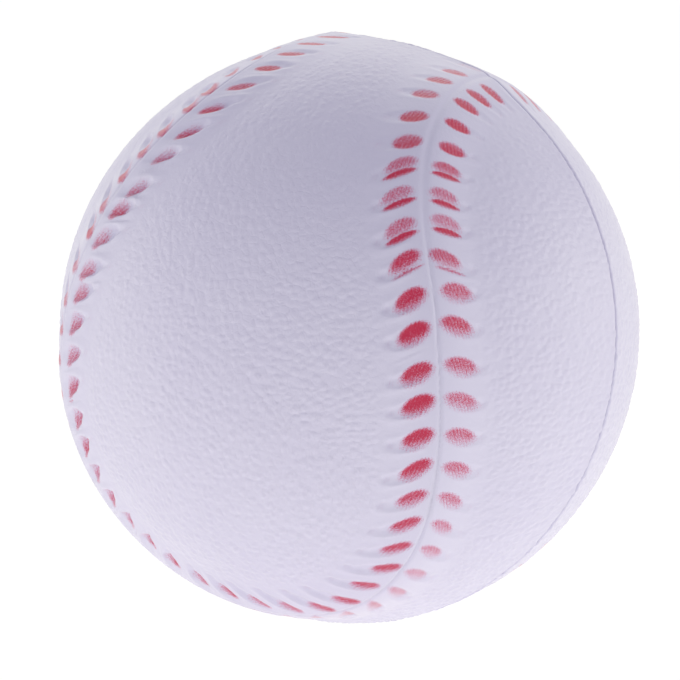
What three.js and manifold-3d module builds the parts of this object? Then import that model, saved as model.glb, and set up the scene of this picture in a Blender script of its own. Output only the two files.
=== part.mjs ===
// Practice baseball, moulded in foam.
//
// A round foam core sits inside a dense skin. The skin was formed in the two halves of a mould,
// so it is two bowls that meet on the parting plane. The mould copies a sewn ball: the skin
// carries a raised welt along a closed seam line, a fine groove along the crest of the welt,
// and one slanted pocket for every stitch of both rows. Where the halves of the mould meet, the
// skin rises to a low ridge all round the ball.
//
// Frame: millimetres, +Z up, origin at the ball's centre. The parting plane is the XZ plane,
// and the front half of the skin faces -Y.

import * as THREE from 'three';
import { mergeVertices } from 'three/addons/utils/BufferGeometryUtils.js';
import Module from 'manifold-3d';

// Ball and its layers

const BALL_RADIUS = 36.4; // over the plain panels, 229 mm round
const SKIN_WALL = 1.6; // dense skin, under the plain panels
const SKIN_TO_CORE = 0.3; // clearance between the skin and the core
const PARTING_GAP = 0.3; // clearance between the two halves of the skin
const RIDGE_HEIGHT = 0.5; // rise of the skin at the parting plane
const RIDGE_REACH = 4.0; // distance from the parting plane at which a third of that rise is left

// Raised seam, measured along the surface and across the seam line

const WELT_HEIGHT = 1.0; // crest over the plain panels
const GROOVE_HALF_WIDTH = 0.3; // groove along the crest
const GROOVE_DEPTH = 0.35;
const LIP_WIDTH = 0.45; // from the groove to the inner end of a pocket
const WELT_FOOT = 1.2; // from the outer end of a pocket to the plain panel

// Stitch pockets, measured along the surface

const POCKET_LENGTH = 5.3; // across the seam
const POCKET_WIDTH = 2.5; // along the seam
const POCKET_LAND = 1.74; // bare skin between two pockets of a row
const POCKET_DEPTH = 0.55;
const POCKET_RAMP = 0.25; // share of the length, and of the width, that each end slope takes
const POCKET_SLANT_DEG = 28; // outer ends trail the inner ones
const ROW_STAGGER = 1.15; // one row is ahead of the other by this length

// Seam line: three pure numbers give its shape, and three angles set it in the mould

const SEAM_LOBE = 0.607; // how far the four lobes reach round the ball
const SEAM_RISE = 1.3; // how high the seam climbs towards the two poles
const SEAM_SHOULDER = 0.07; // how square its shoulders are
const SEAM_TURN_DEG = 12.8; // in the parting plane
const SEAM_PITCH_DEG = -1.9; // about X
const SEAM_YAW_DEG = 131; // about Z, of which 135 would make the parting plane a mirror of the seam
const STITCH_PHASE = 0.66; // first stitch of the front row, at the seam line, as a share of the pitch
const SPINE_INSET = 19; // from the seam to the end of a panel's spine, in the middle of a lobe

// Fineness of the faceted solids

const SEAM_STEPS = 4000; // steps of the seam line when its length is measured
const PANEL_RINGS = [[0.22, 100], [0.44, 84], [0.66, 72], [0.85, 60]]; // welt to spine, and points
const SPINE_SPANS = 30; // straight spans along the middle of a panel
const ROUND_DETAIL = 7; // subdivision of the plain round surfaces

// Colours and finishes

const COLOURS = { skin: '#dcd9e6', core: '#efe9dc' };

const FULL_TURN = Math.PI * 2;
const { degToRad } = THREE.MathUtils;

/** Point of the seam line at angle t on a ball of radius 1. */
function seamPoint(t) {
  return new THREE.Vector3(
    Math.cos(t) + SEAM_LOBE * Math.cos(3 * t),
    Math.sin(t) - SEAM_LOBE * Math.sin(3 * t),
    SEAM_RISE * Math.sin(2 * t) + SEAM_SHOULDER * Math.sin(6 * t),
  ).normalize();
}

/** Running length of the seam line at each of its steps, in millimetres. */
function measureSeam() {
  const lengths = [0];
  let last = seamPoint(0);
  for (let i = 1; i <= SEAM_STEPS; i += 1) {
    const next = seamPoint((i / SEAM_STEPS) * FULL_TURN);
    lengths.push(lengths[i - 1] + BALL_RADIUS * last.distanceTo(next));
    last = next;
  }
  return lengths;
}

const seamLengths = measureSeam();
const seamLength = seamLengths[SEAM_STEPS];
const stitchCount = Math.round(seamLength / (POCKET_WIDTH + POCKET_LAND));
const stitchPitch = seamLength / stitchCount;

/** Angle t of the seam line at a length along it. */
function seamAngle(length) {
  const turns = Math.floor(length / seamLength);
  const rest = length - turns * seamLength;
  let low = 0;
  let high = SEAM_STEPS;
  while (high - low > 1) {
    const middle = (low + high) >> 1;
    if (seamLengths[middle] <= rest) low = middle;
    else high = middle;
  }
  const share = (rest - seamLengths[low]) / (seamLengths[high] - seamLengths[low]);
  return (turns + (low + share) / SEAM_STEPS) * FULL_TURN;
}

/** Point beside the seam, at a distance across from it on the ball and a lift over the ball. */
function besideSeam(t, across, lift) {
  const step = FULL_TURN / SEAM_STEPS;
  const foot = seamPoint(t);
  const along = seamPoint(t + step).sub(seamPoint(t - step));
  along.addScaledVector(foot, -along.dot(foot)).normalize();
  const side = new THREE.Vector3().crossVectors(foot, along);
  const angle = across / BALL_RADIUS;
  return foot.multiplyScalar(Math.cos(angle))
    .addScaledVector(side, Math.sin(angle))
    .multiplyScalar(BALL_RADIUS + lift);
}

// Distances from the seam line

const pocketStart = GROOVE_HALF_WIDTH + LIP_WIDTH;
const pocketEnd = pocketStart + POCKET_LENGTH;
const weltEdge = pocketEnd + WELT_FOOT;

/** Height of the welt over the ball: half a cosine wave that ends level with the panels. */
function weltHeight(across) {
  return (WELT_HEIGHT / 2) * (1 + Math.cos((Math.PI * across) / weltEdge));
}

/** Points of the ball's outer surface, and the faces between closed loops of them. */
class Surface {
  points = [];
  faces = [];

  add(point) {
    this.points.push(point);
    return this.points.length - 1;
  }

  /** Joins two closed loops of {id, turn} with triangles. The turns rise from 0 towards 1. */
  zip(inner, outer, flip) {
    let i = 0;
    let j = 0;
    const at = (loop, k) => loop[k % loop.length].id;
    const turn = (loop, k) => (k < loop.length ? loop[k].turn : 1 + loop[k - loop.length].turn);
    while (i < inner.length || j < outer.length) {
      const innerTurn = i < inner.length ? turn(inner, i + 1) : Infinity;
      const outerTurn = j < outer.length ? turn(outer, j + 1) : Infinity;
      let face;
      if (innerTurn < outerTurn) {
        face = [at(inner, i), at(inner, i + 1), at(outer, j)];
        i += 1;
      } else {
        face = [at(inner, i), at(outer, j + 1), at(outer, j)];
        j += 1;
      }
      if (flip) face.reverse();
      this.faces.push(...face);
    }
  }

  geometry() {
    const geometry = new THREE.BufferGeometry();
    geometry.setAttribute('position', new THREE.Float32BufferAttribute(
      this.points.flatMap((p) => p.toArray()), 3));
    geometry.setIndex(this.faces);
    return geometry;
  }
}

/** The same loop, with its turns counted from start and sorted from there. */
function countedFrom(loop, start) {
  return loop
    .map(({ id, turn }) => ({ id, turn: turn - start - Math.floor(turn - start) }))
    .sort((a, b) => a.turn - b.turn);
}

/** Columns of points of one row of stitches: rim, floor, floor and rim of every pocket. */
function stitchColumns(offset) {
  const columns = [];
  const half = POCKET_WIDTH / 2;
  const floor = half - POCKET_RAMP * POCKET_WIDTH;
  for (let k = 0; k < stitchCount; k += 1) {
    const middle = (k + STITCH_PHASE) * stitchPitch + offset;
    for (const [shift, sunk] of [[-half, 0], [-floor, 1], [floor, 1], [half, 0]]) {
      columns.push({ length: middle + shift, sunk });
    }
  }
  return columns;
}

/** One side of the welt, from its groove to the plain panel. Returns the loop at its edge. */
function addStitchRow(surface, crest, side) {
  const columns = stitchColumns(side > 0 ? 0 : ROW_STAGGER);
  const slant = Math.tan(degToRad(POCKET_SLANT_DEG));
  const ramp = POCKET_RAMP * POCKET_LENGTH;
  const rows = [
    { across: GROOVE_HALF_WIDTH, deep: 0 },
    { across: pocketStart, deep: 0 },
    { across: pocketStart + ramp, deep: 1 },
    { across: pocketEnd - ramp, deep: 1 },
    { across: pocketEnd, deep: 0 },
  ];
  const place = (column, across) => seamAngle(column.length - across * slant);
  const flip = side < 0;
  let last = null;
  for (const { across, deep } of rows) {
    const loop = columns.map((column, i) => {
      const lift = weltHeight(across) - POCKET_DEPTH * deep * column.sunk;
      const id = surface.add(besideSeam(place(column, across), side * across, lift));
      return { id, turn: i / columns.length, seamTurn: place(column, across) / FULL_TURN };
    });
    if (last) {
      surface.zip(last, loop, flip);
    } else {
      const bySeam = loop.map(({ id, seamTurn }) => ({ id, turn: seamTurn }));
      surface.zip(countedFrom(crest, 0), countedFrom(bySeam, 0), flip);
    }
    last = loop;
  }
  const edge = columns.filter((column) => !column.sunk).map((column) => {
    const t = place(column, weltEdge);
    return { id: surface.add(besideSeam(t, side * weltEdge, 0)), turn: t / FULL_TURN };
  });
  const outer = last.map(({ id, seamTurn }) => ({ id, turn: seamTurn }));
  surface.zip(countedFrom(outer, 0), countedFrom(edge, 0), flip);
  return edge;
}

/** Angle from the middle of a panel's spine to its end. */
function spineReach() {
  const lobeTip = seamPoint(-Math.PI / 4);
  return Math.PI - Math.acos(-lobeTip.z) - SPINE_INSET / BALL_RADIUS;
}

/** The plain panel on one side of the seam: rings of points from the welt to the panel's spine. */
function addPanel(surface, edge, side) {
  const start = -side / 8; // turn of the seam line at the first lobe of this panel
  const reach = spineReach();
  const spinePoint = (angle) => new THREE.Vector3(
    Math.sin(angle) * Math.SQRT1_2,
    -side * Math.sin(angle) * Math.SQRT1_2,
    side * Math.cos(angle),
  );
  const flip = side < 0;
  let last = countedFrom(edge, start);
  for (const [share, count] of PANEL_RINGS) {
    const loop = [];
    for (let i = 0; i < count; i += 1) {
      const turn = i / count;
      const t = (turn + start) * FULL_TURN;
      const spine = spinePoint(reach * Math.cos(turn * FULL_TURN));
      const point = besideSeam(t, side * weltEdge, 0).normalize().lerp(spine, share);
      loop.push({ id: surface.add(point.setLength(BALL_RADIUS)), turn });
    }
    surface.zip(last, loop, flip);
    last = loop;
  }
  const out = [];
  for (let i = 0; i <= SPINE_SPANS; i += 1) {
    const share = 1 - (2 * i) / SPINE_SPANS;
    const point = spinePoint(reach * share).multiplyScalar(BALL_RADIUS);
    out.push({ id: surface.add(point), turn: Math.acos(share) / FULL_TURN });
  }
  const back = out.slice(1, -1).reverse().map(({ id, turn }) => ({ id, turn: 1 - turn }));
  surface.zip(last, [...out, ...back], flip);
}

/** The ball's whole outer surface, with its welt, groove and pockets, set at its angles in the mould. */
function ballSurface() {
  const surface = new Surface();
  const crest = [];
  const crestPoints = 2 * stitchCount;
  for (let i = 0; i < crestPoints; i += 1) {
    const t = seamAngle((i / crestPoints) * seamLength);
    crest.push({
      id: surface.add(besideSeam(t, 0, WELT_HEIGHT - GROOVE_DEPTH)),
      turn: t / FULL_TURN,
    });
  }
  for (const side of [1, -1]) {
    addPanel(surface, addStitchRow(surface, crest, side), side);
  }
  const angles = [SEAM_PITCH_DEG, SEAM_TURN_DEG, SEAM_YAW_DEG].map(degToRad);
  const setInMould = new THREE.Matrix4().makeRotationFromEuler(new THREE.Euler(...angles, 'YXZ'));
  return surface.geometry().applyMatrix4(setInMould);
}

const wasm = await Module();
wasm.setup();

/** A closed mesh as a solid that can be cut. */
function toSolid(geometry) {
  const bare = geometry.clone();
  bare.deleteAttribute('normal');
  bare.deleteAttribute('uv');
  const merged = mergeVertices(bare);
  return new wasm.Manifold(new wasm.Mesh({
    numProp: 3,
    vertProperties: new Float32Array(merged.attributes.position.array),
    triVerts: new Uint32Array(merged.index.array),
  }));
}

/** A solid as a mesh again. */
function toGeometry(solid) {
  const { vertProperties, triVerts } = solid.getMesh();
  const geometry = new THREE.BufferGeometry();
  geometry.setAttribute('position', new THREE.BufferAttribute(vertProperties, 3));
  geometry.setIndex(new THREE.BufferAttribute(triVerts, 1));
  geometry.computeVertexNormals();
  return geometry;
}

/** A round ball of even triangles. */
function roundBall(radius) {
  return new THREE.IcosahedronGeometry(radius, ROUND_DETAIL);
}

/** Lifts the outer surface towards the parting plane. Points of the cavity stay where they are. */
function raiseRidge(point) {
  const radius = Math.hypot(...point);
  if (radius < BALL_RADIUS - SKIN_WALL / 2) return;
  const lift = RIDGE_HEIGHT * Math.exp(-Math.abs(point[1]) / RIDGE_REACH);
  const flat = Math.hypot(point[0], point[2]);
  point[0] *= 1 + lift / flat;
  point[2] *= 1 + lift / flat;
}

/** Half of the skin, on one side of the parting plane: side is -1 for the front and 1 for the back. */
function skinHalf(shell, side) {
  const size = 4 * (BALL_RADIUS + WELT_HEIGHT);
  const box = new THREE.BoxGeometry(size, size, size);
  box.translate(0, side * (size / 2 + PARTING_GAP / 2), 0);
  return toGeometry(shell.intersect(toSolid(box)).warp(raiseRidge));
}

function skinMaterial() {
  return new THREE.MeshStandardMaterial({ color: COLOURS.skin, roughness: 0.55, metalness: 0 });
}

function coreMaterial() {
  return new THREE.MeshStandardMaterial({ color: COLOURS.core, roughness: 0.9, metalness: 0 });
}

function buildBall() {
  const cavityRadius = BALL_RADIUS - SKIN_WALL;
  const shell = toSolid(ballSurface()).subtract(toSolid(roundBall(cavityRadius)));
  const parts = [
    ['foam_core', toGeometry(toSolid(roundBall(cavityRadius - SKIN_TO_CORE))), coreMaterial()],
    ['skin_front', skinHalf(shell, -1), skinMaterial()],
    ['skin_back', skinHalf(shell, 1), skinMaterial()],
  ];
  const ball = new THREE.Group();
  for (const [name, geometry, material] of parts) {
    const mesh = new THREE.Mesh(geometry, material);
    mesh.name = name;
    ball.add(mesh);
  }
  return ball;
}

export default buildBall();
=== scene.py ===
# %% [markdown]
# # A moulded foam practice baseball
#
# The ball is one shot of foam in a two-part mould. Its skin copies a sewn ball: a welt with a
# fine groove along its crest, two rows of slanted stitch pockets, pebbled leather between them,
# and red stitches that are sprayed on. This lesson keeps the solid core as it is and replaces
# each plain half of the skin with a fine surface that carries all of these forms. Lengths are in
# millimetres while a surface is worked out, and in metres in meshes and materials.

import math

import bpy
import numpy as np
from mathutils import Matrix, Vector


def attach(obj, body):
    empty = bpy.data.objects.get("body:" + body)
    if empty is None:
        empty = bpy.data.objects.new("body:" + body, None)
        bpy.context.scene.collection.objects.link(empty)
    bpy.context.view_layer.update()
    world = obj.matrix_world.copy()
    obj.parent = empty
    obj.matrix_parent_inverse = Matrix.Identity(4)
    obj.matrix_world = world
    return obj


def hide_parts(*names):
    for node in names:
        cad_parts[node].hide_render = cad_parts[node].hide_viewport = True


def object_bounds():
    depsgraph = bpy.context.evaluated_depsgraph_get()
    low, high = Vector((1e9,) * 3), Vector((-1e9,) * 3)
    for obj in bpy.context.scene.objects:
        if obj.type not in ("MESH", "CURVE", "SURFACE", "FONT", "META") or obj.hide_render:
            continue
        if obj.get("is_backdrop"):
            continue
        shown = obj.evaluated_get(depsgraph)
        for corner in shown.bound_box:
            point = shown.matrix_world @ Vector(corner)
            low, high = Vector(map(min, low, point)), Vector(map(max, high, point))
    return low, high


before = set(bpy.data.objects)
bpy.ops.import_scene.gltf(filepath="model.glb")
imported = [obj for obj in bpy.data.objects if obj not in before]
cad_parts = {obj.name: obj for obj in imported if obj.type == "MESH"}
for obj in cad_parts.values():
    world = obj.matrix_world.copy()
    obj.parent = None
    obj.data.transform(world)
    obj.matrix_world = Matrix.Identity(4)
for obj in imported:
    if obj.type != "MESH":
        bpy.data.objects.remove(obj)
cad_box = [list(corner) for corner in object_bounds()]
MM = 0.001
print("solids:", sorted(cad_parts))


def linear(code):
    """sRGB hex to linear light: c / 12.92 up to 0.04045, ((c + 0.055) / 1.055) ** 2.4 above it."""
    parts = [int(code[i:i + 2], 16) / 255 for i in (1, 3, 5)]
    return tuple(c / 12.92 if c <= 0.04045 else ((c + 0.055) / 1.055) ** 2.4 for c in parts)


def add_node(tree, kind, settings=None, inputs=None):
    """Adds a node, sets its properties, and gives each input a value or links an output to it."""
    node = tree.nodes.new(kind)
    for name, value in (settings or {}).items():
        setattr(node, name, value)
    for name, value in (inputs or {}).items():
        if isinstance(value, bpy.types.NodeSocket):
            tree.links.new(value, node.inputs[name])
        else:
            node.inputs[name].default_value = value
    return node


# %% [markdown]
# ## The seam line
#
# The seam of a baseball is one closed curve with four lobes. It could be drawn by hand as a
# spline, but three pure numbers give the same curve, and then the length along it and the
# distance from it can be worked out anywhere on the ball. The mould was taken from a ball that
# was sewn by hand, so the real line wanders a little off this curve, most of all at the left.

# %% Seam line
BALL_RADIUS = 36.4
SEAM_LOBE = 0.607
SEAM_RISE = 1.3
SEAM_SHOULDER = 0.07
SEAM_PITCH_DEG = -1.9
SEAM_TURN_DEG = 12.8
SEAM_YAW_DEG = 131
SEAM_STEPS = 4000


def turn_about(axis, degrees):
    """Matrix that turns a point about X, Y or Z by the right-hand rule."""
    c, s = math.cos(math.radians(degrees)), math.sin(math.radians(degrees))
    rows = {
        "X": [[1, 0, 0], [0, c, -s], [0, s, c]],
        "Y": [[c, 0, s], [0, 1, 0], [-s, 0, c]],
        "Z": [[c, -s, 0], [s, c, 0], [0, 0, 1]],
    }
    return np.array(rows[axis])


set_in_mould = (
    turn_about("Y", SEAM_TURN_DEG) @ turn_about("X", SEAM_PITCH_DEG) @ turn_about("Z", SEAM_YAW_DEG)
)


def seam_point(t):
    """x = cos t + a cos 3t, y = sin t - a sin 3t, z = b sin 2t + c sin 6t, scaled to length 1."""
    x = np.cos(t) + SEAM_LOBE * np.cos(3 * t)
    y = np.sin(t) - SEAM_LOBE * np.sin(3 * t)
    z = SEAM_RISE * np.sin(2 * t) + SEAM_SHOULDER * np.sin(6 * t)
    points = np.stack([x, y, z], axis=-1)
    return points / np.linalg.norm(points, axis=-1, keepdims=True) @ set_in_mould.T


seam_angles = np.linspace(0, 2 * math.pi, SEAM_STEPS + 1)
seam_steps = np.linalg.norm(np.diff(seam_point(seam_angles), axis=0), axis=1)
seam_lengths = BALL_RADIUS * np.concatenate([[0], np.cumsum(seam_steps)])
SEAM_LENGTH = seam_lengths[-1]
print(f"seam: {SEAM_LENGTH:.1f} mm long")


# %% Places beside the seam
# How far the real line wanders from the curve, in mm, at some lengths along it
SEAM_WANDER = {
    62: 0, 75: 0.4, 88: 0.7, 95: 1.1, 100: 1.8, 108: 1.9, 112: 2.4, 125: 2.2, 142: 2.2, 155: 1.2,
    165: 0.8, 176: 0.5, 185: 0.7, 195: 0.3, 206: 0, 222: -0.1, 232: 0.4, 242: 0.3, 250: 0,
}
COARSE_POINTS = 600
BLOCK_SIZE = 20000
TANGENT_STEP = 1e-4


def by_length(length, table):
    """Values that are given at some lengths along the seam and run evenly between them."""
    return np.interp(length, list(table), list(table.values()), period=SEAM_LENGTH)


def from_seam(directions):
    """
    Length along the seam and signed distance across it, in mm, for directions from the centre.
    The nearest of 600 seam points is found first. A parabola through the closeness of that
    point and of its two neighbours then gives a better angle, three times, with smaller steps.
    """
    coarse = np.linspace(0, 2 * math.pi, COARSE_POINTS, endpoint=False)
    coarse_points = seam_point(coarse).astype(np.float32)
    t = np.concatenate([
        coarse[np.argmax(block.astype(np.float32) @ coarse_points.T, axis=1)]
        for block in np.array_split(directions, max(1, len(directions) // BLOCK_SIZE))
    ])
    for step in (0.01, 0.003, 0.001):
        before, here, after = (
            (directions * seam_point(t + shift)).sum(axis=1) for shift in (-step, 0, step)
        )
        bend = np.minimum(before + after - 2 * here, -1e-12)
        t = t + np.clip(0.5 * step * (before - after) / bend, -2 * step, 2 * step)
    foot = seam_point(t)
    along = seam_point(t + TANGENT_STEP) - seam_point(t - TANGENT_STEP)
    along /= np.linalg.norm(along, axis=1, keepdims=True)
    sine = (directions * np.cross(foot, along)).sum(axis=1)
    length = np.interp(np.mod(t, 2 * math.pi), seam_angles, seam_lengths)
    across = BALL_RADIUS * np.arcsin(np.clip(sine, -1, 1)) - by_length(length, SEAM_WANDER)
    return length, across


print("the real line lies up to", max(SEAM_WANDER.values()), "mm off the curve")


# %% [markdown]
# ## Welt and groove
#
# All forms of the skin are heights over a ball, added up. The welt is half a cosine wave across
# the seam, as in the solids. It keeps only about half of its height on two short stretches,
# where the foam didn't fill the mould. The groove is a narrow dip on its crest, with one lip a
# little higher, as where one leather edge lies over the other. It is rubbed flat along one
# stretch. A sweep along the curve could make the welt, but a height blends into the panels.

# %% Forms across the seam
WELT_HEIGHT = 1.0
WELT_EDGE = 7.25
# The share of its height that the welt keeps, at some lengths along the seam in mm
WELT_SHARE = {
    20: 1, 44: 0.6, 60: 0.6, 76: 0.9, 90: 1, 245: 1, 258: 0.75, 266: 0.5, 282: 0.5, 300: 1,
}
GROOVE_DEPTH = 0.24
GROOVE_HALF_WIDTH = 0.22
LIP_HEIGHT = 0.22
LIP_REACH = 0.8
LIP_EDGE = (-0.1, 0.25)
# Lengths along the seam, in mm, over which the groove fades and comes back
WORN_FROM = (222, 240)
WORN_TO = (262, 285)


def bump(x, middle, half_width):
    """A smooth hill of height 1: exp(-((x - middle) / half_width) ** 2)."""
    return np.exp(-((x - middle) / half_width) ** 2)


def smooth_step(x, low, high):
    """0 below low, 1 above high, and 3 q^2 - 2 q^3 between them."""
    q = np.clip((x - low) / (high - low), 0, 1)
    return q * q * (3 - 2 * q)


def welt_height(length, across):
    """
    Half a cosine wave that ends level with the panels, less the groove, plus the lip beside it.
    Where worn is 1, the lip is gone and the groove is twice as wide and half as deep.
    """
    worn = smooth_step(length, *WORN_FROM) * (1 - smooth_step(length, *WORN_TO))
    reach = np.minimum(np.abs(across), WELT_EDGE)
    height = by_length(length, WELT_SHARE) * WELT_HEIGHT
    wave = height / 2 * (1 + np.cos(math.pi * reach / WELT_EDGE))
    groove = GROOVE_DEPTH * (1 - worn / 2) * bump(across, 0, GROOVE_HALF_WIDTH * (1 + worn))
    lip = LIP_HEIGHT * (1 - worn) * np.exp(-np.maximum(across, 0) / LIP_REACH)
    return wave - groove + lip * smooth_step(across, *LIP_EDGE)


print(f"welt: {WELT_HEIGHT} mm high and {2 * WELT_EDGE} mm wide")


# %% [markdown]
# ## Stitches
#
# A row holds one slanted pocket per stitch. A pocket could be cut with a small solid for each of
# the 200 stitches, but a height that is worked out from the place beside the seam is smoother.
# The sewn ball that the mould was taken from was stitched by hand, so the rows drift against an
# even pitch, and each stitch has a little of its own slant, width and place. Tables give these at
# some stitches, in pairs: first the front row, which borders the big panel in the middle of the
# photo, and then the back row on the other side of the line.

# %% Count of the stitches
STITCH_PITCH_TARGET = 4.24
stitch_count = round(SEAM_LENGTH / STITCH_PITCH_TARGET)
stitch_pitch = SEAM_LENGTH / stitch_count

# Spreads of the slant's tangent, of the place in mm, and of the shares of width and of paint
chance = np.random.default_rng(9)
own_slant = chance.normal(0, 0.06, (2, stitch_count))
own_shift = chance.normal(0, 0.05, (2, stitch_count))
own_width = chance.normal(1, 0.06, (2, stitch_count))
own_paint = chance.normal(0, 0.06, (2, stitch_count))
print(f"stitches: {stitch_count} in each row, {stitch_pitch:.2f} mm apart")


# %% Drift and slant of the stitches
# Drift along the seam in mm, at some numbers of the stitches
DRIFT = (
    {
        14: 0.6, 19: 0.1, 20: -0.2, 21: 0.5, 22: -0.7, 23: -1.2, 24: -1.0, 25: -2.2, 27: -2.2,
        28: -2.1, 29: -1.5, 31: -1.7, 33: -1.5, 36: -0.5, 41: -0.3, 42: 0.6, 43: 0.8, 49: 0.8,
        50: 0.3, 51: 0.9, 53: 0.4, 55: 0.1, 56: -0.1, 57: -0.6, 58: -0.7, 59: -0.1, 60: -0.2,
        61: -0.4, 66: -0.4, 70: 0,
    },
    {
        14: 0.8, 17: 1.1, 18: 0, 19: 0, 20: -0.5, 22: -1.0, 23: -1.4, 24: -0.9, 27: -1.6,
        31: -1.5, 38: 0, 41: -0.1, 44: -0.2, 46: -0.7, 48: -0.5, 50: -0.4, 51: 0.2, 52: 0.2,
        53: -0.6, 54: -0.1, 55: -0.6, 57: -0.7, 58: -0.3, 59: 0.5, 60: 0.1, 61: -0.6, 66: -0.6,
        70: 0,
    },
)
# Slant against the line across the seam, in degrees
SLANT = (
    {
        14: 25, 16: 30, 18: 44, 24: 32, 31: 29, 33: 14, 35: 18, 38: 46, 41: 36, 44: 40, 47: 25,
        51: 17, 53: 25, 57: 16, 61: 12, 66: 28,
    },
    {
        14: 28, 17: 18, 26: 12, 33: 28, 41: 28, 46: 26, 48: 12, 50: 18, 52: 11, 53: 15, 54: 5,
        56: -4, 59: -12, 61: -8, 66: 20, 70: 28,
    },
)
STITCH_PHASE = 0.66
STITCH_MIDDLE = 2.85
ROW_START = (-1.52, -0.37)


def by_number(row, number, tables):
    """Values that are given at some stitches and run evenly between them, round the whole seam."""
    front, back = (
        np.interp(number, list(table), list(table.values()), period=stitch_count)
        for table in tables
    )
    return np.where(row == 0, front, back)


def stitch_places(length, across):
    """
    For each point: the row, the number of its nearest stitch, and its place on that stitch as
    (u along the stitch from its middle, v along the seam from the stitch's slanted axis), in mm.
    """
    row = (across < 0).astype(int)
    u = np.abs(across) - STITCH_MIDDLE
    turns = (length - np.where(row == 0, *ROW_START)) / stitch_pitch - STITCH_PHASE
    number = turns
    for _ in range(2):
        drift = by_number(row, number, DRIFT)
        slant = np.tan(np.radians(by_number(row, number, SLANT)))
        number = np.round(turns + (u * slant - drift) / stitch_pitch)
    k = number.astype(int) % stitch_count
    v = (turns - number) * stitch_pitch + u * (slant + own_slant[row, k])
    return row, k, u, v - drift + own_shift[row, k]


print("slant:", min(SLANT[1].values()), "to", max(SLANT[0].values()), "degrees")


# %% Pockets and pits
# Half lengths, half widths and depths in mm, at some numbers of the stitches
POCKET_LENGTH = (
    {14: 2.0, 32: 2.0, 38: 2.4, 42: 2.6, 57: 2.6, 61: 2.2, 66: 2.4},
    {0: 2.6},
)
POCKET_WIDTH = (
    {14: 1.2, 18: 1.4, 30: 1.4, 34: 1.5, 40: 1.2, 61: 1.0, 66: 1.2},
    {14: 1.2, 61: 1.0, 66: 1.2},
)
POCKET_DEPTH = (
    {14: 0.12, 17: 0.3, 18: 0.6, 20: 1.0, 31: 1.0, 35: 0.5, 42: 0.3, 46: 0.18, 57: 0.12, 66: 0.1},
    {14: 0.15, 18: 0.5, 28: 0.5, 33: 0.3, 38: 0.3, 42: 0.3, 46: 0.16, 61: 0.1, 66: 0.1},
)
PIT_DEPTH = (
    {14: 0.15, 18: 0.26, 46: 0.32, 53: 0.32, 56: 0.2, 59: 0.1, 66: 0.1},
    {14: 0.1, 46: 0.17, 56: 0.17, 60: 0.1, 66: 0.1},
)
PIT_SIDE = ({14: -0.2, 33: -0.2, 45: 0.4, 56: 0.4, 60: 0, 66: 0},) * 2
RIM_HEIGHT = (
    {14: 0.04, 18: 0.16, 31: 0.16, 38: 0.08, 46: 0.12, 54: 0.12, 58: 0.05, 66: 0.05},
    {0: 0.05},
)
# Places along a stitch in mm: where its pocket starts, and where it gets deeper
POCKET_START = -2.35
FALL_RANGE = (-1.8, 1.8)
INNER_END_SHARE = 0.25
PIT_OUT = 0.2
PIT_RADIUS = 0.55
# Shares of the oval's size: its soft wall, and the crest of its rim with both slopes
OVAL_POWER = 2.4
POCKET_WALL = (0.5, 1.08)
RIM_PLACE = 1.12
RIM_INSIDE = 0.12
RIM_OUTSIDE = 0.45
RIM_START = (-0.5, 2.0)


def pocket_depth(row, k, u, v):
    """
    Depth of the pockets. One pocket is an oval, |(u - m) / a| ** 2.4 + |v / b| ** 2.4 < 1, with
    soft walls, and it is deeper away from the seam. A round pit, where the thread would enter
    the leather, deepens its outer end, and a low rim runs round that end, steep on its inside.
    """
    half_length = by_number(row, k, POCKET_LENGTH)
    half_width = by_number(row, k, POCKET_WIDTH) * own_width[row, k]
    middle = POCKET_START + half_length
    oval = np.abs((u - middle) / half_length) ** OVAL_POWER + np.abs(v / half_width) ** OVAL_POWER
    size = oval ** (1 / OVAL_POWER)
    fall = INNER_END_SHARE + (1 - INNER_END_SHARE) * smooth_step(u, *FALL_RANGE)
    bowl = by_number(row, k, POCKET_DEPTH) * fall * (1 - smooth_step(size, *POCKET_WALL))
    out = u - (middle + half_length + PIT_OUT)
    aside = v - by_number(row, k, PIT_SIDE)
    pit = by_number(row, k, PIT_DEPTH) * np.exp(-(out ** 2 + aside ** 2) / PIT_RADIUS ** 2)
    crest = bump(size, RIM_PLACE, np.where(size < RIM_PLACE, RIM_INSIDE, RIM_OUTSIDE))
    rim = by_number(row, k, RIM_HEIGHT) * crest * smooth_step(u - v, *RIM_START)
    return bowl + pit - rim


print("pockets: up to", max(POCKET_DEPTH[0].values()), "mm deep")


# %% [markdown]
# ## Pebbled leather
#
# Leather grain is a field of small domes with creases between them. A cell texture in the
# material would do for a bump, but then the grain would be missing from the mesh. Here the same
# cells are worked out with numpy: each small cube of space holds one random point, and a crease
# runs where the nearest and the second nearest point are equally far.

# %% Cells of the grain
MIXERS = (73856093, 19349663, 83492791)
FIRST_STIR = 2654435761
SECOND_STIR = 2246822519
SALTS = (11, 29, 47)
CELL_OFFSET = 5000


def random_in_cells(cells, salt):
    """One even random number from 0 to 1 for each whole-number cell, by mixing its bits."""
    x, y, z = (cells[:, i].astype(np.uint32) * np.uint32(MIXERS[i]) for i in range(3))
    mixed = x ^ y ^ z
    mixed = (mixed ^ np.uint32(salt)) * np.uint32(FIRST_STIR)
    mixed = (mixed ^ (mixed >> np.uint32(15))) * np.uint32(SECOND_STIR)
    return (mixed ^ (mixed >> np.uint32(13))).astype(np.float64) / 2 ** 32


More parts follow.
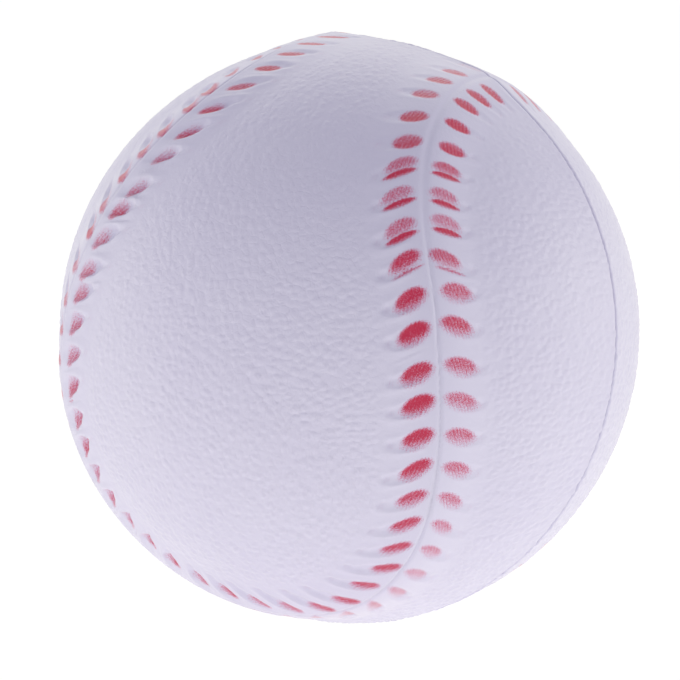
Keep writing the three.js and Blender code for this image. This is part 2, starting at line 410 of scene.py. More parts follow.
def cell_distances(points):
    """Distances to the nearest and the second nearest random point, of one per cell of size 1."""
    home = np.floor(points).astype(np.int64)
    nearest = np.full(len(points), 9.0)
    second = np.full(len(points), 9.0)
    for step in np.ndindex(3, 3, 3):
        cells = home + np.array(step) - 1
        jitter = np.stack([random_in_cells(cells + CELL_OFFSET, salt) for salt in SALTS], axis=1)
        distance = np.linalg.norm(cells + jitter - points, axis=1)
        second = np.minimum(second, np.maximum(nearest, distance))
        nearest = np.minimum(nearest, distance)
    return nearest, second


print("cells:", len(SALTS), "random numbers place the point of each")


# %% Grain of the panels
PEBBLE_SIZE = 0.95
CREASE_DEPTH = 0.08
CREASE_WIDTH = 0.34
DOME_SHARE = 0.9
# Distances from the seam, in mm, between which the grain comes up
PANEL_START, PANEL_FULL = 5.0, 9.0
WELT_GRAIN = 0.12
BACK_PANEL_GRAIN = 0.9
# Heights, as shares of the radius, between which the grain fades upwards
GRAIN_FADE = (-0.25, 0.45)
UPPER_GRAIN = 0.7
LOWER_EXTRA = 0.6


def grain_height(directions, across):
    """Creases between pebbles, deep on the panels' lower half and shallow on the welt and above."""
    nearest, second = cell_distances(directions * BALL_RADIUS / PEBBLE_SIZE)
    crease = bump((second - nearest) * PEBBLE_SIZE, 0, CREASE_WIDTH)
    panel = smooth_step(np.abs(across), PANEL_START, PANEL_FULL)
    low = 1 - smooth_step(directions[:, 2], *GRAIN_FADE)
    side = np.where(across > 0, 1.0, BACK_PANEL_GRAIN)
    strength = (WELT_GRAIN + (1 - WELT_GRAIN) * panel * side) * (UPPER_GRAIN + LOWER_EXTRA * low)
    return -CREASE_DEPTH * strength * (crease + DOME_SHARE * nearest ** 2)


print(f"grain: pebbles of {PEBBLE_SIZE} mm, creases of {CREASE_DEPTH} mm")


# %% [markdown]
# ## Paint
#
# The red was sprayed through a stencil, so it has soft edges, and where the ball was sprayed
# twice the two prints don't fall in the same place. How much paint lies at a point is stored on
# the mesh as a number, and the material breaks it up into fine specks. Painted solids would be
# the other way, but at a tenth of a millimetre they would be slivers.

# %% Sizes of the prints
# Half widths and half lengths in mm, at some numbers of the stitches
PRINT_WIDTH = (
    {
        9: 1.0, 14: 0.6, 17: 0.8, 18: 1.0, 19: 1.2, 22: 1.4, 25: 1.5, 33: 1.5, 38: 1.1, 44: 1.15,
        47: 1.3, 54: 1.35, 57: 1.1, 61: 0.9, 66: 1.0,
    },
    {
        9: 1.0, 14: 0.7, 17: 1.4, 25: 1.4, 39: 1.05, 44: 1.05, 49: 1.2, 54: 1.35, 57: 1.05,
        66: 1.0,
    },
)
PRINT_LENGTH = (
    {
        9: 1.9, 14: 1.5, 17: 1.3, 18: 1.0, 24: 0.9, 33: 0.95, 38: 0.95, 40: 1.25, 44: 1.5,
        49: 1.9, 56: 1.85, 58: 1.6, 61: 1.5, 66: 1.9,
    },
    {
        9: 1.9, 14: 1.7, 18: 1.6, 25: 1.6, 39: 2.1, 42: 2.1, 45: 1.7, 49: 2.25, 56: 1.9, 58: 1.7,
        66: 1.9,
    },
)
# Distance of a print's middle from the seam, in mm
PRINT_REACH = (
    {
        9: 2.7, 14: 2.4, 16: 2.7, 17: 2.7, 18: 2.45, 19: 2.8, 21: 2.75, 22: 2.3, 23: 2.0, 24: 2.0,
        25: 2.2, 26: 2.5, 28: 2.6, 29: 2.8, 31: 2.8, 32: 2.9, 33: 3.3, 34: 3.5, 37: 2.9, 39: 2.1,
        40: 1.65, 41: 1.7, 42: 2.25, 43: 1.8, 44: 2.2, 47: 2.5, 52: 2.8, 54: 2.9, 55: 3.1,
        57: 2.4, 59: 2.7, 61: 2.3, 66: 2.7,
    },
    {
        9: 2.6, 14: 2.4, 16: 2.4, 17: 1.7, 18: 1.5, 20: 1.7, 22: 1.8, 25: 1.8, 33: 2.4, 41: 2.6,
        43: 2.6, 45: 2.45, 47: 2.7, 50: 2.9, 51: 2.65, 52: 3.05, 53: 2.1, 54: 2.8, 55: 2.65,
        57: 3.1, 59: 2.3, 61: 2.9, 66: 2.6,
    },
)
PRINT_OFFSET = (
    {14: 0.0, 18: 0.2, 33: 0.2, 40: 0.0, 66: 0.0},
    {0: 0.0},
)
# Strength of the paint: 1 is full cover
PRINT_STRENGTH = (
    {
        9: 0.9, 14: 1.0, 18: 0.95, 20: 0.7, 33: 0.7, 39: 0.8, 44: 0.95, 49: 1.1, 52: 1.0, 61: 0.9,
        62: 0.3, 66: 0.9,
    },
    {
        9: 0.7, 14: 0.9, 18: 0.85, 26: 0.85, 33: 0.65, 44: 0.6, 50: 0.8, 53: 0.85, 56: 1.05,
        61: 1.0, 62: 0, 63: 0.8, 66: 0.7,
    },
)
print("prints: up to", 2 * max(PRINT_LENGTH[1].values()), "mm long")


# %% Amount of paint
# Softness of a print's edge, as a share of its size, and how far one side of it is crisper
SOFT_EDGE, SHARP_EDGE = 0.24, 0.17
CRISP_ABOVE, CRISP_AT_TOP, CRISP_BELOW = 1, 0.3, -0.4
FIRST_AT_FRONT = 18
# Stitches that were printed twice, and by how much the first print is raised, narrowed and paled
FIRST_DOUBLE, LAST_DOUBLE = 53, 56
PALE_RISE, PALE_WIDTH, PALE_STRENGTH = 0.45, 0.9, 0.7
# The second print in mm: half length, half width and drop, and its strength
SECOND_LENGTH, SECOND_WIDTH, SECOND_DROP, SECOND_STRENGTH = 1.9, 0.52, 0.65, 1.1
SECOND_EDGE = 0.2
LINE_SHIFT, LINE_WIDTH, LINE_DROP, LINE_STRENGTH = 0.2, 0.26, 0.85, 0.7
MIST = 0.10
MIST_OUT = 2.9
MIST_RADIUS = 0.6


def oval_print(u, v, half_length, half_width, soft, crisp=1):
    """
    1 inside an oval and 0 outside it. Its edge is soft by the share soft of its size. The stencil
    stood off the ball on one side: away from the crisp side, +v or -v, the paint thins out and
    its edge is twice as soft.
    """
    size = np.sqrt((u / half_length) ** 2 + (v / half_width) ** 2)
    high = crisp * v / half_width
    blur = soft * (1.5 - 0.5 * np.tanh(2 * high))
    thin = 0.5 + 0.5 * smooth_step(high, -0.9, 0.3)
    return thin * (1 - smooth_step(size, 1 - blur, 1 + blur))


def paint_amount(row, k, u, v):
    """
    One oval for each stitch. Stitches 53 to 56 were printed twice: a pale wide oval higher up,
    and a strong narrow one below it. The first of these four has only a thin line below.
    """
    twice = (k >= FIRST_DOUBLE) & (k <= LAST_DOUBLE)
    line = k == FIRST_DOUBLE
    upper = k > LAST_DOUBLE
    at_top = k < FIRST_AT_FRONT
    first = oval_print(
        u + STITCH_MIDDLE - by_number(row, k, PRINT_REACH),
        v - by_number(row, k, PRINT_OFFSET) - np.where(twice, PALE_RISE, 0),
        by_number(row, k, PRINT_LENGTH),
        by_number(row, k, PRINT_WIDTH) * np.where(twice, PALE_WIDTH, 1),
        np.where(upper | at_top, SHARP_EDGE, SOFT_EDGE),
        np.where(upper, CRISP_BELOW, np.where(at_top, CRISP_AT_TOP, CRISP_ABOVE)),
    )
    first *= by_number(row, k, PRINT_STRENGTH) + own_paint[row, k]
    first *= np.where(twice & ~line, PALE_STRENGTH, 1)
    second = twice * oval_print(
        u + LINE_SHIFT * line,
        v + np.where(line, LINE_DROP, SECOND_DROP),
        SECOND_LENGTH,
        np.where(line, LINE_WIDTH, SECOND_WIDTH),
        SECOND_EDGE,
    )
    second *= np.where(line, LINE_STRENGTH, SECOND_STRENGTH)
    mist = MIST * np.exp(-((u - MIST_OUT) ** 2 + v ** 2) / MIST_RADIUS ** 2)
    return np.maximum(first, second) + mist


print("printed twice: stitches", FIRST_DOUBLE, "to", LAST_DOUBLE)


# %% [markdown]
# ## One half of the skin
#
# A half ball made of rings and spokes crowds its points at the pole. A square grid pulled round
# to a disc, and the disc wrapped onto the half ball with equal areas, keeps all its cells alike,
# and its edge is a clean circle at the parting plane.

# %% Grid of a half ball
def half_ball_directions(cells, edge):
    """
    A grid of (cells + 1) squared directions round -Y. Squares of the grid become circles:
    r = max(|a|, |b|), and the angle runs evenly along each side. The polar angle is
    2 asin(r sin(half of the edge's angle)), which keeps areas.
    """
    a, b = np.meshgrid(np.linspace(-1, 1, cells + 1), np.linspace(-1, 1, cells + 1), indexing="ij")
    wide = np.abs(a) >= np.abs(b)
    r = np.where(wide, a, b)
    share = np.where(wide, b, a) / np.where(r == 0, 1, r)
    angle = np.where(wide, math.pi / 4 * share, math.pi / 2 - math.pi / 4 * share)
    polar = 2 * np.arcsin(np.abs(r) * math.sin(edge / 2))
    across, up = np.cos(angle) * np.sign(r), np.sin(angle) * np.sign(r)
    grid = np.stack([np.sin(polar) * across, -np.cos(polar), np.sin(polar) * up], axis=-1)
    return grid.reshape(-1, 3)


def grid_faces(cells):
    """Four corners of every cell of the grid, facing away from the centre on the -Y side."""
    start = np.arange(cells)[:, None] * (cells + 1) + np.arange(cells)[None, :]
    corners = np.stack([start, start + cells + 1, start + cells + 2, start + 1], axis=-1)
    return corners.reshape(-1, 4)


def grid_edge(cells):
    """Numbers of the grid's edge points, once round."""
    index = np.arange((cells + 1) ** 2).reshape(cells + 1, cells + 1)
    return np.concatenate([index[:-1, 0], index[-1, :-1], index[:0:-1, -1], index[0, :0:-1]])


print("a grid of 8 by 8 cells has", len(grid_edge(8)), "edge points")


# %% [markdown]
# ## Parting line
#
# The halves of the mould meet in a plane, and the skin rises to a low ridge there. The ridge is
# what makes the far strip of the ball look paler. In the photo that plane is turned by about
# three degrees against the one of the solids. The split could follow the solids, but then the
# line would miss the photo's by up to 2.3 mm at the edge, so the grid is turned with the mould.

# %% Points of the skin
MOULD_YAW_DEG = -3.0
MOULD_PITCH_DEG = -1.8
RIDGE_HEIGHT = 0.55
RIDGE_REACH = 3.6
mould_turn = turn_about("Z", MOULD_YAW_DEG) @ turn_about("X", MOULD_PITCH_DEG)


def skin_points(directions):
    """
    Points of the outer surface in mm, the amount of paint, and the place on the nearest stitch
    with the distance across the seam. The points are given in the mould's own frame. There the
    ridge at the parting plane only widens the circles round the Y axis, by
    0.55 mm * exp(-|y| / 3.6 mm), so it doesn't shift a point along that axis.
    """
    length, across = from_seam(directions)
    row, k, u, v = stitch_places(length, across)
    height = welt_height(length, across) - pocket_depth(row, k, u, v)
    height = height + grain_height(directions, across)
    points = directions * (BALL_RADIUS + height)[:, None] @ mould_turn
    rise = RIDGE_HEIGHT * np.exp(-np.abs(points[:, 1]) / RIDGE_REACH)
    from_axis = np.hypot(points[:, 0], points[:, 2])
    points[:, [0, 2]] *= (1 + rise / np.maximum(from_axis, 1))[:, None]
    return points, paint_amount(row, k, u, v), np.stack([u, v, across], axis=-1)


print("parting ridge:", RIDGE_HEIGHT, "mm high, turned by", MOULD_YAW_DEG, "and", MOULD_PITCH_DEG)


# %% A closed shell for one half
CELLS = 448
SKIN_WALL = 1.6
PARTING_HALF_GAP = 0.06
EDGE_START = 0.45
EDGE_DROP = 0.42
ROLL_ANGLES_DEG = (22, 45, 68, 90)
PAINTED_RINGS = 2
INNER_SHARE = 8
FAR_FROM_STITCH = 9.0


def band_faces(ring, following):
    """Four-cornered faces between two rings of equal count, each a list of point numbers."""
    return np.stack([ring, following, np.roll(following, -1), np.roll(ring, -1)], axis=1)


def rim_faces(ring, inner_ring):
    """Faces of the flat rim: each takes eight steps of the outer ring and one of the inner."""
    outer_steps = np.append(ring, ring[0])
    inner_steps = np.append(inner_ring, inner_ring[0])
    starts = np.arange(len(inner_ring))[:, None] * INNER_SHARE
    outer_corners = outer_steps[starts + np.arange(INNER_SHARE, -1, -1)]
    return np.column_stack([outer_corners, inner_steps[:-1], inner_steps[1:]])


def skin_shell(side):
    """
    Points in mm and faces of a closed shell: the fine grid outside, four rings that roll over
    the edge at the parting plane as a quarter of an ellipse, a flat rim, and a grid with an
    eighth of the cells inside. Paint and stitch places are given for each point as well. side is
    -1 for the front and 1 for the back, which is the front's grid turned about Z.
    """
    turned = np.array([-side, -side, 1])
    edge_angle = math.acos(EDGE_START / BALL_RADIUS)
    directions = half_ball_directions(CELLS, edge_angle) * turned @ mould_turn.T
    outer, paint, place = skin_points(directions)
    edge = grid_edge(CELLS)
    rim = outer[edge] * [1, 0, 1]
    outwards = rim / np.linalg.norm(rim, axis=1, keepdims=True)
    roll = EDGE_START - PARTING_HALF_GAP
    layers = [outer]
    faces = [grid_faces(CELLS)]
    ring = edge
    count = len(outer)
    for turn in np.radians(ROLL_ANGLES_DEG):
        inwards = outwards * EDGE_DROP * (1 - math.cos(turn))
        layers.append(rim - inwards + [0, side * (EDGE_START - roll * math.sin(turn)), 0])
        following = count + np.arange(len(edge))
        faces.append(band_faces(ring, following))
        ring = following
        count += len(edge)

    inner_cells = CELLS // INNER_SHARE
    inner_radius = BALL_RADIUS - SKIN_WALL
    inner_angle = math.acos(PARTING_HALF_GAP / inner_radius)
    inner = half_ball_directions(inner_cells, inner_angle) * turned * inner_radius
    layers.append(inner)
    faces.append(count + grid_faces(inner_cells)[:, ::-1])
    faces.append(rim_faces(ring, count + grid_edge(inner_cells)))

    rings = len(ROLL_ANGLES_DEG)
    bare = (rings - PAINTED_RINGS) * len(edge) + len(inner)
    paint = np.concatenate([paint] + [paint[edge]] * PAINTED_RINGS + [np.zeros(bare)])
    far = np.full((len(inner), 3), FAR_FROM_STITCH)
    place = np.concatenate([place] + [place[edge]] * rings + [far])
    return np.concatenate(layers) @ mould_turn.T, faces, paint, place


def skin_half(name, side):
    """The shell as a mesh object, with its paint and its stitch places as attributes."""
    points, faces, paint, place = skin_shell(side)
    corner_lists = [corners for block in faces for corners in block.tolist()]
    mesh = bpy.data.meshes.new(name)
    mesh.from_pydata((points * MM).tolist(), [], corner_lists)
    mesh.polygons.foreach_set("use_smooth", np.ones(len(mesh.polygons), dtype=bool))
    mesh.attributes.new("paint", "FLOAT", "POINT").data.foreach_set("value", paint)
    mesh.attributes.new("stitch", "FLOAT_VECTOR", "POINT").data.foreach_set("vector", place.ravel())
    mesh.update()
    piece = bpy.data.objects.new(name, mesh)
    bpy.context.scene.collection.objects.link(piece)
    print(f"{name}: {len(points)} points, {len(mesh.polygons)} faces")
    return piece


# %% [markdown]
# ## Material of the skin
#
# Polyurethane foam turns dense where it meets the cold mould and forms its own satin skin, dyed
# all through in a cool white. It reflects evenly and turns paler towards its edges, which is
# sheen, and the paint on it is thin and matt, laid down in specks by the spray. The marks could
# be a picture on the ball, but that would blur up close, so nodes make them from the numbers
# that the mesh carries.

# %% Ribs of the thread
STRAND_PITCH = 0.5
STRAND_SLANT = 0.35


def thread_ribs(tree, along, aside):
    """Ribs of the twisted thread, slanted across the stitch: sin(2 pi (u + 0.35 v) / 0.5 mm)."""
    slanted = add_node(
        tree, "ShaderNodeMath", {"operation": "MULTIPLY_ADD"},
        {0: aside, 1: STRAND_SLANT, 2: along},
    )
    turns = add_node(
        tree, "ShaderNodeMath", {"operation": "MULTIPLY"},
        {0: slanted.outputs[0], 1: 2 * math.pi / STRAND_PITCH},
    )
    return add_node(tree, "ShaderNodeMath", {"operation": "SINE"}, {0: turns.outputs[0]}).outputs[0]


print("ribs of the thread:", STRAND_PITCH, "mm apart")


# %% Specks of the paint
# A spray's droplets, near 0.05 mm, are too fine to show here, so the specks are drawn coarser
SPECK_SIZE = 0.12 * MM
SPECK_LOW, SPECK_HIGH = 0.3, 0.7
SPECK_REACH = 0.38
RIB_SHARE = 0.06
FULL_COVER = 1.05
TRACE_OF_PAINT = 0.2


def paint_cover(tree, place, amount, ribs):
    """
    How much of the skin is red: paint lies where its amount is more than a fine noise. The
    second result is 1 where any paint lies.
    """
    specks = add_node(
        tree, "ShaderNodeTexNoise", None,
        {"Vector": place, "Scale": 1 / SPECK_SIZE, "Detail": 2.0, "Roughness": 0.6},
    )
    speck_range = add_node(
        tree, "ShaderNodeMapRange", None,
        {
            "Value": specks.outputs["Fac"], "From Min": SPECK_LOW, "From Max": SPECK_HIGH,
            "To Min": -SPECK_REACH, "To Max": SPECK_REACH,
        },
    )
    uneven = add_node(
        tree, "ShaderNodeMath", {"operation": "MULTIPLY_ADD"},
        {0: ribs, 1: RIB_SHARE, 2: speck_range.outputs[0]},
    )
    level = add_node(
        tree, "ShaderNodeMath", {"operation": "ADD"}, {0: amount, 1: uneven.outputs[0]},
    )
    cover = add_node(
        tree, "ShaderNodeMapRange", {"interpolation_type": "SMOOTHSTEP"},
        {"Value": level.outputs[0], "From Min": 0.0, "From Max": FULL_COVER},
    )
    any_paint = add_node(
        tree, "ShaderNodeMapRange", {"interpolation_type": "SMOOTHSTEP"},
        {"Value": amount, "From Min": 0.0, "From Max": TRACE_OF_PAINT},
    ).outputs[0]
    red = add_node(
        tree, "ShaderNodeMath", {"operation": "MULTIPLY"}, {0: cover.outputs[0], 1: any_paint},
    ).outputs[0]
    return red, any_paint


print(f"specks: {SPECK_SIZE / MM:.2f} mm")


# %% Colours of the dyed foam and of the paint
# In its colour mode a Mix node has its two colours at sockets 6 and 7, and its result at 2
MIX_FIRST, MIX_SECOND, MIX_RESULT = 6, 7, 2
# Clouds in the dye, per metre: one in 14 mm
DYE_CLOUDS = 70.0
DYE_COLOURS = ("#c7c3de", "#ccc9e1")
THIN_PAINT = "#c23c8e"
FULL_PAINT = "#b60a41"


def skin_colour(tree, place, red):
    """The dye varies a little over the ball. Thin paint is pinker than a full coat of it."""
    cloud = add_node(
        tree, "ShaderNodeTexNoise", None, {"Vector": place, "Scale": DYE_CLOUDS, "Detail": 3.0},
    )
    foam_dye = add_node(
        tree, "ShaderNodeMix", {"data_type": "RGBA"},
        {
            "Factor": cloud.outputs["Fac"],
            MIX_FIRST: (*linear(DYE_COLOURS[0]), 1), MIX_SECOND: (*linear(DYE_COLOURS[1]), 1),
        },
    )
    paint = add_node(
        tree, "ShaderNodeMix", {"data_type": "RGBA"},
        {
            "Factor": red,
            MIX_FIRST: (*linear(THIN_PAINT), 1), MIX_SECOND: (*linear(FULL_PAINT), 1),
        },
    )
    colour = add_node(
        tree, "ShaderNodeMix", {"data_type": "RGBA"},
        {
            "Factor": red,
            MIX_FIRST: foam_dye.outputs[MIX_RESULT], MIX_SECOND: paint.outputs[MIX_RESULT],
        },
    )
    return colour.outputs[MIX_RESULT]


print("colours: foam", *DYE_COLOURS, "and paint", THIN_PAINT, FULL_PAINT)


# %% Relief that is too fine for the mesh
GRIT_SIZE = 0.35 * MM
GRIT_DEPTH = 0.05 * MM
RIB_DEPTH = 0.03 * MM
PEBBLE_CREASES = 0.95 * MM
CREASE_RELIEF = 0.015 * MM
# The creases are bent sideways by a wavy noise with 900 waves per metre
WARP_WAVES = 900.0
WARP_REACH = 0.7 * MM
CREASE_HALF_WIDTH = 0.16
WELT_CREASES = 0.15


def pebble_creases(tree, place):
    """0 on the thin lines between pebbles and 1 inside them, along borders of bent cells."""
    warp = add_node(
        tree, "ShaderNodeTexNoise", None, {"Vector": place, "Scale": WARP_WAVES, "Detail": 1.0},
    )
    bent = add_node(
        tree, "ShaderNodeVectorMath", {"operation": "MULTIPLY_ADD"},
        {0: warp.outputs["Color"], 1: (WARP_REACH, WARP_REACH, WARP_REACH), 2: place},
    )
    pebbles = add_node(
        tree, "ShaderNodeTexVoronoi", {"feature": "DISTANCE_TO_EDGE"},
        {"Vector": bent.outputs[0], "Scale": 1 / PEBBLE_CREASES},
    )
    return add_node(
        tree, "ShaderNodeMapRange", {"interpolation_type": "SMOOTHSTEP"},
        {"Value": pebbles.outputs["Distance"], "From Min": 0.0, "From Max": CREASE_HALF_WIDTH},
    ).outputs[0]


def skin_relief(tree, place, ribs, any_paint, across):
    """Ribs of the thread under the paint, then the mould's grit, then creases on the panels."""
    painted_ribs = add_node(
        tree, "ShaderNodeMath", {"operation": "MULTIPLY"}, {0: ribs, 1: any_paint},
    )
    rib_bump = add_node(
        tree, "ShaderNodeBump", None,
        {"Height": painted_ribs.outputs[0], "Strength": 0.4, "Distance": RIB_DEPTH},
    )
    grit = add_node(
        tree, "ShaderNodeTexNoise", None, {"Vector": place, "Scale": 1 / GRIT_SIZE, "Detail": 3.0},
    )
    grit_bump = add_node(
        tree, "ShaderNodeBump", None,
        {
            "Height": grit.outputs["Fac"], "Normal": rib_bump.outputs[0],
            "Strength": 0.5, "Distance": GRIT_DEPTH,
        },
    )
    on_panel = add_node(
        tree, "ShaderNodeMapRange", {"interpolation_type": "SMOOTHSTEP"},
        {
            "Value": across, "From Min": PANEL_START, "From Max": PANEL_FULL,
            "To Min": WELT_CREASES,
        },
    )
    return add_node(
        tree, "ShaderNodeBump", None,
        {
            "Height": pebble_creases(tree, place), "Normal": grit_bump.outputs[0],
            "Strength": on_panel.outputs[0], "Distance": CREASE_RELIEF,
        },
    ).outputs[0]


print(f"relief: grit of {GRIT_SIZE / MM:.2f} mm")


# %% Skin material
def moulded_skin():
    """Self-skinned foam with sprayed paint: soft gloss, lavender white, specks of red."""
    material = bpy.data.materials.new("self_skinned_foam")
    material.use_nodes = True
    tree = material.node_tree
    tree.nodes.clear()
    place = add_node(tree, "ShaderNodeTexCoord").outputs["Object"]
    amount = add_node(tree, "ShaderNodeAttribute", {"attribute_name": "paint"}).outputs["Fac"]
    stitch = add_node(tree, "ShaderNodeAttribute", {"attribute_name": "stitch"}).outputs["Vector"]
    parts = add_node(tree, "ShaderNodeSeparateXYZ", None, {0: stitch}).outputs
    ribs = thread_ribs(tree, parts["X"], parts["Y"])
    red, any_paint = paint_cover(tree, place, amount, ribs)
    surface = add_node(
        tree, "ShaderNodeBsdfPrincipled", None,
        {
            "Base Color": skin_colour(tree, place, red), "Roughness": 0.5, "IOR": 1.48,
            "Normal": skin_relief(tree, place, ribs, any_paint, parts["Z"]),
            "Sheen Weight": 0.35, "Sheen Roughness": 0.4,
        },
    )
    add_node(tree, "ShaderNodeOutputMaterial", None, {"Surface": surface.outputs[0]})
    print(material.name, "has", len(tree.nodes), "nodes")
    return material


# %% Both halves of the skin
skin_material = moulded_skin()
for half, side in (("front", -1), ("back", 1)):
    piece = skin_half(f"skin_{half}_fine", side)
    piece.data.materials.append(skin_material)
    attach(piece, "root")
    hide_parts(f"skin_{half}")


# %% [markdown]
# ## Core
#
# Under the skin the foam is light and open. Nothing of it shows in use, but whoever takes the
# model apart sees it, so the solid keeps its place and gets a foam of small cells. Its cells
# could be cut into the mesh, but a bump with painted shade in the hollows is enough for a piece
# that is never seen up close.

# %% Core material
CELL_SIZE = 0.9 * MM
CELL_DEPTH = 0.3 * MM
# The walls of the cells take the paler colour; the darker colour in the hollows is painted shade
WALL_COLOUR = "#f3eddf"
HOLLOW_SHADE_COLOUR = "#d9d0bb"

foam = bpy.data.materials.new("open_cell_polyurethane_foam")
foam.use_nodes = True
tree = foam.node_tree
tree.nodes.clear()
place = add_node(tree, "ShaderNodeTexCoord").outputs["Object"]
cells = add_node(
    tree, "ShaderNodeTexVoronoi", {"feature": "DISTANCE_TO_EDGE"},
    {"Vector": place, "Scale": 1 / CELL_SIZE},
)
walls = add_node(
    tree, "ShaderNodeMapRange", None,
    {"Value": cells.outputs["Distance"], "From Min": 0.0, "From Max": 0.35},
)
# Painted shade: the colour darkens from the cell walls into the hollows of the cells
colour = add_node(
    tree, "ShaderNodeMix", {"data_type": "RGBA"},
    {
        "Factor": walls.outputs[0],
        MIX_FIRST: (*linear(WALL_COLOUR), 1), MIX_SECOND: (*linear(HOLLOW_SHADE_COLOUR), 1),
    },
)
pits = add_node(
    tree, "ShaderNodeBump", {"invert": True},
    {"Height": walls.outputs[0], "Strength": 0.8, "Distance": CELL_DEPTH},
)
surface = add_node(
    tree, "ShaderNodeBsdfPrincipled", None,
    {
        "Base Color": colour.outputs[MIX_RESULT], "Roughness": 0.85, "IOR": 1.45,
        "Normal": pits.outputs[0],
    },
)
add_node(tree, "ShaderNodeOutputMaterial", None, {"Surface": surface.outputs[0]})
core_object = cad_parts["foam_core"]
for number in range(len(core_object.material_slots)):
    core_object.material_slots[number].material = foam
print(f"core: foam with cells of {CELL_SIZE / MM:.1f} mm")


# %% [markdown]
# ## Floor, light and camera
#
# A pale ball on white shows its forms only by small steps of light, so the light has to be soft
# and low: a white room all round, a pale floor that glows a little like a light table, and wide
# lamps behind the ball and at its sides. Stronger lamps would whiten the background too, but
# they would also bleach the ball. The camera looks through a long lens, so that the outline
# stays a true circle.

# %% Floor
FLOOR_HEIGHT = -0.0369
FLOOR_HALF_SIDE = 12.0
FLOOR_GLOW = 0.73
FLOOR_WHITE_SHARE = 0.9
PAPER_COLOUR = (0.85, 0.85, 0.85, 1)
GLOW_COLOUR = (1.0, 0.99, 0.81, 1)
PLAIN_WHITE = (1, 1, 1, 1)


def share_of_plain_view(tree):
    """1 for rays from the camera, in reflections and through glass, and 0 for soft light."""
    ray = add_node(tree, "ShaderNodeLightPath").outputs
    first = add_node(
        tree, "ShaderNodeMath", {"operation": "MAXIMUM"},
        {0: ray["Is Camera Ray"], 1: ray["Is Glossy Ray"]},
    )
    return add_node(
        tree, "ShaderNodeMath", {"operation": "MAXIMUM"},
        {0: first.outputs[0], 1: ray["Is Transmission Ray"]},
    ).outputs[0]


floor_mesh = bpy.data.meshes.new("floor")
floor_corners = np.array([(-1, -1, 0), (1, -1, 0), (1, 1, 0), (-1, 1, 0)]) * FLOOR_HALF_SIDE
floor_mesh.from_pydata((floor_corners + [0, 0, FLOOR_HEIGHT]).tolist(), [], [(0, 1, 2, 3)])
floor = bpy.data.objects.new("floor", floor_mesh)
bpy.context.scene.collection.objects.link(floor)
floor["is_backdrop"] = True

paper = bpy.data.materials.new("white_paper")
paper.use_nodes = True
tree = paper.node_tree
tree.nodes.clear()
matt = add_node(tree, "ShaderNodeBsdfDiffuse", None, {"Color": PAPER_COLOUR})
glow = add_node(
    tree, "ShaderNodeEmission", None, {"Color": GLOW_COLOUR, "Strength": FLOOR_GLOW},
)
lit = add_node(tree, "ShaderNodeAddShader", None, {0: matt.outputs[0], 1: glow.outputs[0]})
plain = add_node(tree, "ShaderNodeEmission", None, {"Color": PLAIN_WHITE, "Strength": 1.0})
white_share = add_node(
    tree, "ShaderNodeMath", {"operation": "MULTIPLY"},
    {0: share_of_plain_view(tree), 1: FLOOR_WHITE_SHARE},
)
both = add_node(
    tree, "ShaderNodeMixShader", None,
    {0: white_share.outputs[0], 1: lit.outputs[0], 2: plain.outputs[0]},
)
add_node(tree, "ShaderNodeOutputMaterial", None, {"Surface": both.outputs[0]})
floor_mesh.materials.append(paper)
print("floor: at", FLOOR_HEIGHT, "m, under the ball")


# %% Room
ROOM_LIGHT = 0.54
ROOM_COLOUR = (0.92, 0.91, 1.0, 1)
room = bpy.data.worlds.new("white_room")
room.use_nodes = True
tree = room.node_tree
tree.nodes.clear()
soft = add_node(
    tree, "ShaderNodeBackground", None, {"Color": ROOM_COLOUR, "Strength": ROOM_LIGHT},
)
white = add_node(tree, "ShaderNodeBackground", None, {"Color": PLAIN_WHITE, "Strength": 1.0})
both = add_node(
    tree, "ShaderNodeMixShader", None,
    {0: share_of_plain_view(tree), 1: soft.outputs[0], 2: white.outputs[0]},
)
add_node(tree, "ShaderNodeOutputWorld", None, {"Surface": both.outputs[0]})
bpy.context.scene.world = room
print("room: light of strength", ROOM_LIGHT)


# %% Camera
CAMERA_AZIMUTH = math.radians(23.5)
CAMERA_ELEVATION = math.radians(3.75)
CAMERA_DISTANCE = 0.910
FOCAL_MM = 383.8
PICTURE_SIDE = 680
BALL_AT_PIXEL = (349.5, 330.5)

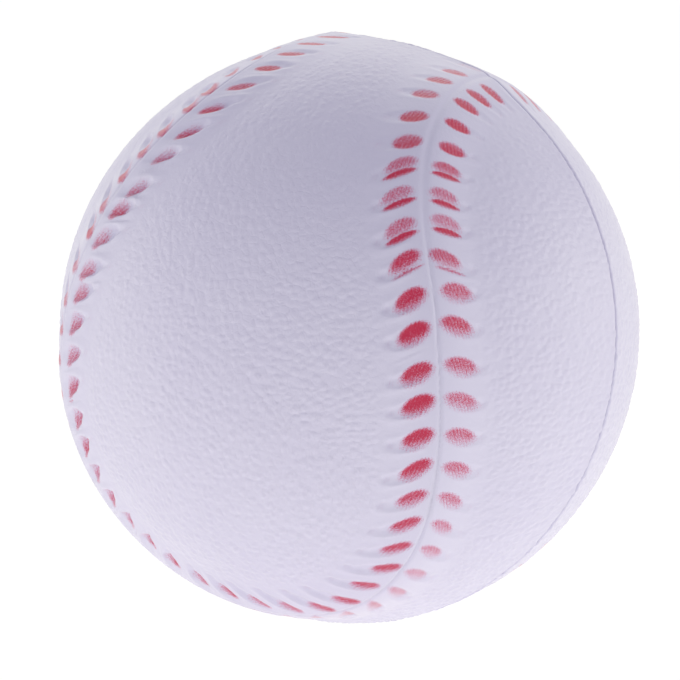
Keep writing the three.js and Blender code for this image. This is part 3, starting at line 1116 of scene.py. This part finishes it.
to_camera = np.array([
    math.sin(CAMERA_AZIMUTH) * math.cos(CAMERA_ELEVATION),
    -math.cos(CAMERA_AZIMUTH) * math.cos(CAMERA_ELEVATION),
    math.sin(CAMERA_ELEVATION),
])
camera_data = bpy.data.cameras.new("camera")
camera_data.lens = FOCAL_MM
camera_data.sensor_width = 36.0
camera_data.clip_end = 50.0
camera_data.shift_x = (PICTURE_SIDE / 2 - BALL_AT_PIXEL[0]) / PICTURE_SIDE
camera_data.shift_y = (BALL_AT_PIXEL[1] - PICTURE_SIDE / 2) / PICTURE_SIDE
camera = bpy.data.objects.new("camera", camera_data)
camera.location = Vector(to_camera * CAMERA_DISTANCE)
camera.rotation_euler = Vector(to_camera).to_track_quat("Z", "Y").to_euler()
bpy.context.scene.collection.objects.link(camera)
bpy.context.scene.camera = camera
bpy.context.scene.view_settings.view_transform = "Standard"
print("camera:", CAMERA_DISTANCE, "m away, with a lens of", FOCAL_MM, "mm")


# %% Lamps
LAMP_SIZE = 0.9
LAMP_COLOUR = (1.0, 0.99, 0.83)
# Name, angle round the ball from the camera, angle up, both in degrees, and power in watts
LAMPS = [
    ("left_lamp", -100, 5, 3.5),
    ("right_lamp", 100, 5, 4.3),
    ("back_lamp", 180, 50, 3.0),
]
to_right = np.array([math.cos(CAMERA_AZIMUTH), math.sin(CAMERA_AZIMUTH), 0])
for name, around_deg, up_deg, power in LAMPS:
    around, up = math.radians(around_deg), math.radians(up_deg)
    level = math.sin(around) * to_right + math.cos(around) * to_camera * [1, 1, 0]
    spot = level * math.cos(up) + [0, 0, math.sin(up)]
    lamp_data = bpy.data.lights.new(name, "AREA")
    lamp_data.shape = "DISK"
    lamp_data.size = LAMP_SIZE
    lamp_data.color = LAMP_COLOUR
    lamp_data.energy = power
    lamp = bpy.data.objects.new(name, lamp_data)
    lamp.location = Vector(spot)
    lamp.rotation_euler = Vector(spot).to_track_quat("Z", "Y").to_euler()
    lamp.visible_camera = False
    bpy.context.scene.collection.objects.link(lamp)
print("lamps:", [name for name, *_ in LAMPS])


# %% [markdown]
# ## Sizes
#
# The ball is measured once more, with its fine skin in place. The two boxes should agree to
# within a few tenths of a millimetre, because the skin only refines the solids.

# %% Sizes, and the end
visual_box = [list(corner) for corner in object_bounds()]
for label, (low, high) in (("solids", cad_box), ("visual", visual_box)):
    print(label, [round((top - bottom) / MM, 2) for bottom, top in zip(low, high)], "mm")
